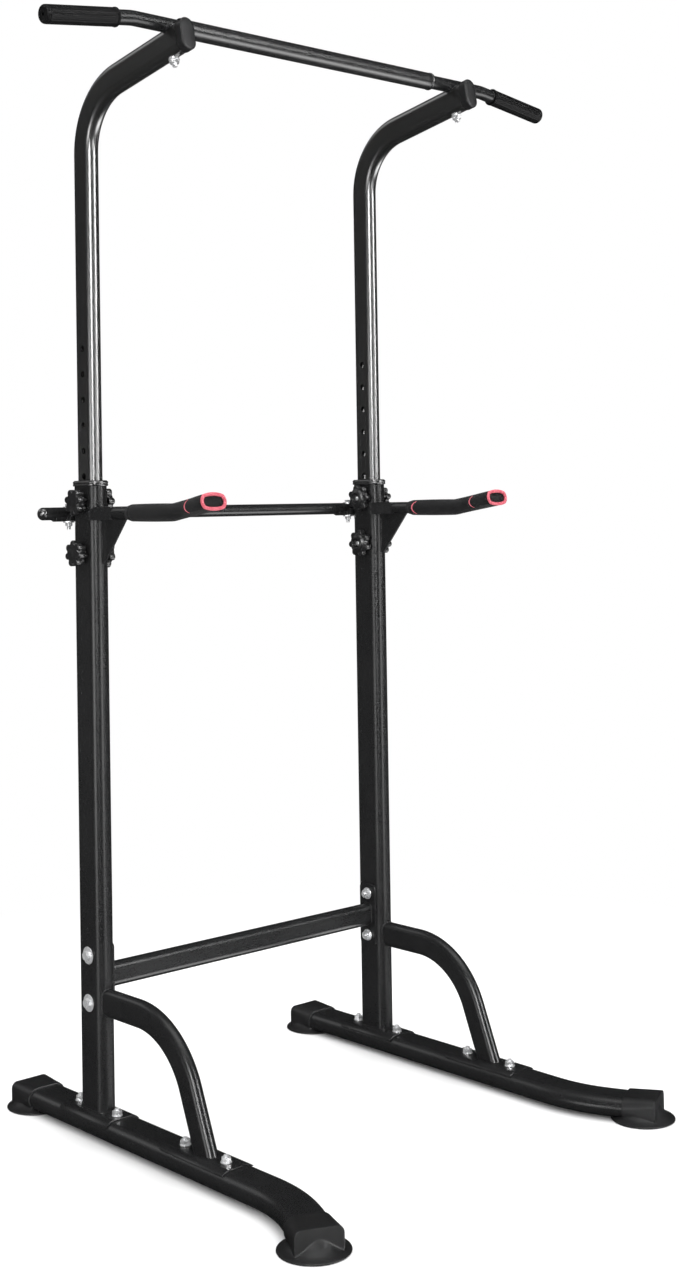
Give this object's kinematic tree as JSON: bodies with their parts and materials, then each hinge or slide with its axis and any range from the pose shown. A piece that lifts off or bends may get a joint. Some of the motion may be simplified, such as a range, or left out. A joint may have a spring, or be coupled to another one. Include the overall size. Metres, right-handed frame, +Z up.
{
  "type": "power tower",
  "caption": "Free-standing power tower: braced uprights on rubber-booted feet carry padded dip arms and a sliding upper frame with a pull-up bar, held by star-knob clamps.",
  "frame": {"origin": "on the floor, below the centre of the overall bounding box: midway between the feet and midway between the front and rear boots", "axes": "+Z up; +X to the user's left as they stand in the tower facing out through the open front, which is the right in a view from the front; the open front with the splayed feet and the dip grips points to -Y"},
  "size_m": [1.3072, 1.038, 2.123],
  "materials": {
    "frame_paint": "satin black powder coat on flat-oval and round steel tube",
    "post_paint": "smooth semi-gloss black coat on the sliding posts",
    "plated_steel": "bright zinc and chrome plated fasteners",
    "boot_rubber": "matte black moulded rubber",
    "black_plastic": "semi-gloss black plastic",
    "knob_plastic": "satin black moulded plastic",
    "grip_foam": "dark charcoal foam rubber, fine grain",
    "accent_rubber": "pink-red soft plastic trim"
  },
  "bodies": {
    "base": {"foot_tube_left": "frame_paint", "foot_tube_right": "frame_paint", "boot_rear_left": "boot_rubber", "boot_rear_right": "boot_rubber", "boot_front_left": "boot_rubber", "boot_front_right": "boot_rubber", "upright_left": "frame_paint", "upright_right": "frame_paint", "upright_saddles": "frame_paint", "brace_left": "frame_paint", "brace_right": "frame_paint", "brace_plates": "frame_paint", "crossbar_tube": "frame_paint", "crossbar_end_plates": "frame_paint", "crossbar_bolts": "plated_steel", "crossbar_washers": "plated_steel", "crossbar_nuts": "plated_steel", "foot_bolts": "plated_steel", "foot_washers": "plated_steel", "foot_nuts": "plated_steel", "post_collars": "black_plastic", "dip_arm_left": "frame_paint", "dip_arm_right": "frame_paint", "dip_gussets": "frame_paint", "dip_grip_left": "grip_foam", "dip_grip_right": "grip_foam", "dip_grip_rims": "accent_rubber", "dip_grip_bands": "accent_rubber", "rear_bar": "frame_paint", "rear_bar_plugs": "black_plastic", "rear_cradles": "frame_paint", "rear_bar_bolts": "plated_steel", "rear_bar_washers": "plated_steel", "rear_bar_nuts": "plated_steel", "clamp_inner_washers": "plated_steel"},
    "upper_frame": {"upper_post_left": "post_paint", "upper_post_right": "post_paint", "post_glides": "black_plastic", "arm_caps": "black_plastic", "pull_up_bar": "frame_paint", "bar_centre_grip": "grip_foam", "bar_end_grip_left": "grip_foam", "bar_end_grip_right": "grip_foam", "bar_studs": "plated_steel", "bar_washers": "plated_steel", "bar_nuts": "plated_steel"},
    "washer_left_upper": {"clamp_washer_left_upper": "plated_steel"},
    "bolt_left_upper": {"clamp_bolt_left_upper": "knob_plastic"},
    "nut_left_upper": {"clamp_nut_left_upper": "knob_plastic"},
    "washer_left_lower": {"clamp_washer_left_lower": "plated_steel"},
    "bolt_left_lower": {"clamp_bolt_left_lower": "knob_plastic"},
    "nut_left_lower": {"clamp_nut_left_lower": "knob_plastic"},
    "washer_right_upper": {"clamp_washer_right_upper": "plated_steel"},
    "bolt_right_upper": {"clamp_bolt_right_upper": "knob_plastic"},
    "nut_right_upper": {"clamp_nut_right_upper": "knob_plastic"},
    "washer_right_lower": {"clamp_washer_right_lower": "plated_steel"},
    "bolt_right_lower": {"clamp_bolt_right_lower": "knob_plastic"},
    "nut_right_lower": {"clamp_nut_right_lower": "knob_plastic"}
  },
  "joints": [
    {"name": "upper_frame_height", "type": "slide", "parent": "base", "child": "upper_frame", "axis": [0, 0, 1], "range_m": [-0.3, 0]},
    {"name": "clamp_withdraw_left_upper", "type": "slide", "parent": "base", "child": "washer_left_upper", "axis": [-1, 0, 0], "range_m": [0, 0.07]},
    {"name": "clamp_bolt_turn_left_upper", "type": "hinge", "parent": "washer_left_upper", "child": "bolt_left_upper", "pos_m": [-0.375, 0.24, 1.227], "axis": [-1, 0, 0], "continuous": true},
    {"name": "clamp_nut_turn_left_upper", "type": "hinge", "parent": "base", "child": "nut_left_upper", "pos_m": [-0.375, 0.24, 1.227], "axis": [-1, 0, 0], "continuous": true},
    {"name": "clamp_withdraw_left_lower", "type": "slide", "parent": "base", "child": "washer_left_lower", "axis": [-1, 0, 0], "range_m": [0, 0.07]},
    {"name": "clamp_bolt_turn_left_lower", "type": "hinge", "parent": "washer_left_lower", "child": "bolt_left_lower", "pos_m": [-0.375, 0.24, 1.127], "axis": [-1, 0, 0], "continuous": true},
    {"name": "clamp_nut_turn_left_lower", "type": "hinge", "parent": "base", "child": "nut_left_lower", "pos_m": [-0.375, 0.24, 1.127], "axis": [-1, 0, 0], "continuous": true},
    {"name": "clamp_withdraw_right_upper", "type": "slide", "parent": "base", "child": "washer_right_upper", "axis": [1, 0, 0], "range_m": [0, 0.07]},
    {"name": "clamp_bolt_turn_right_upper", "type": "hinge", "parent": "washer_right_upper", "child": "bolt_right_upper", "pos_m": [0.375, 0.24, 1.227], "axis": [1, 0, 0], "continuous": true},
    {"name": "clamp_nut_turn_right_upper", "type": "hinge", "parent": "base", "child": "nut_right_upper", "pos_m": [0.375, 0.24, 1.227], "axis": [1, 0, 0], "continuous": true},
    {"name": "clamp_withdraw_right_lower", "type": "slide", "parent": "base", "child": "washer_right_lower", "axis": [1, 0, 0], "range_m": [0, 0.07]},
    {"name": "clamp_bolt_turn_right_lower", "type": "hinge", "parent": "washer_right_lower", "child": "bolt_right_lower", "pos_m": [0.375, 0.24, 1.127], "axis": [1, 0, 0], "continuous": true},
    {"name": "clamp_nut_turn_right_lower", "type": "hinge", "parent": "base", "child": "nut_right_lower", "pos_m": [0.375, 0.24, 1.127], "axis": [1, 0, 0], "continuous": true}
  ]
}
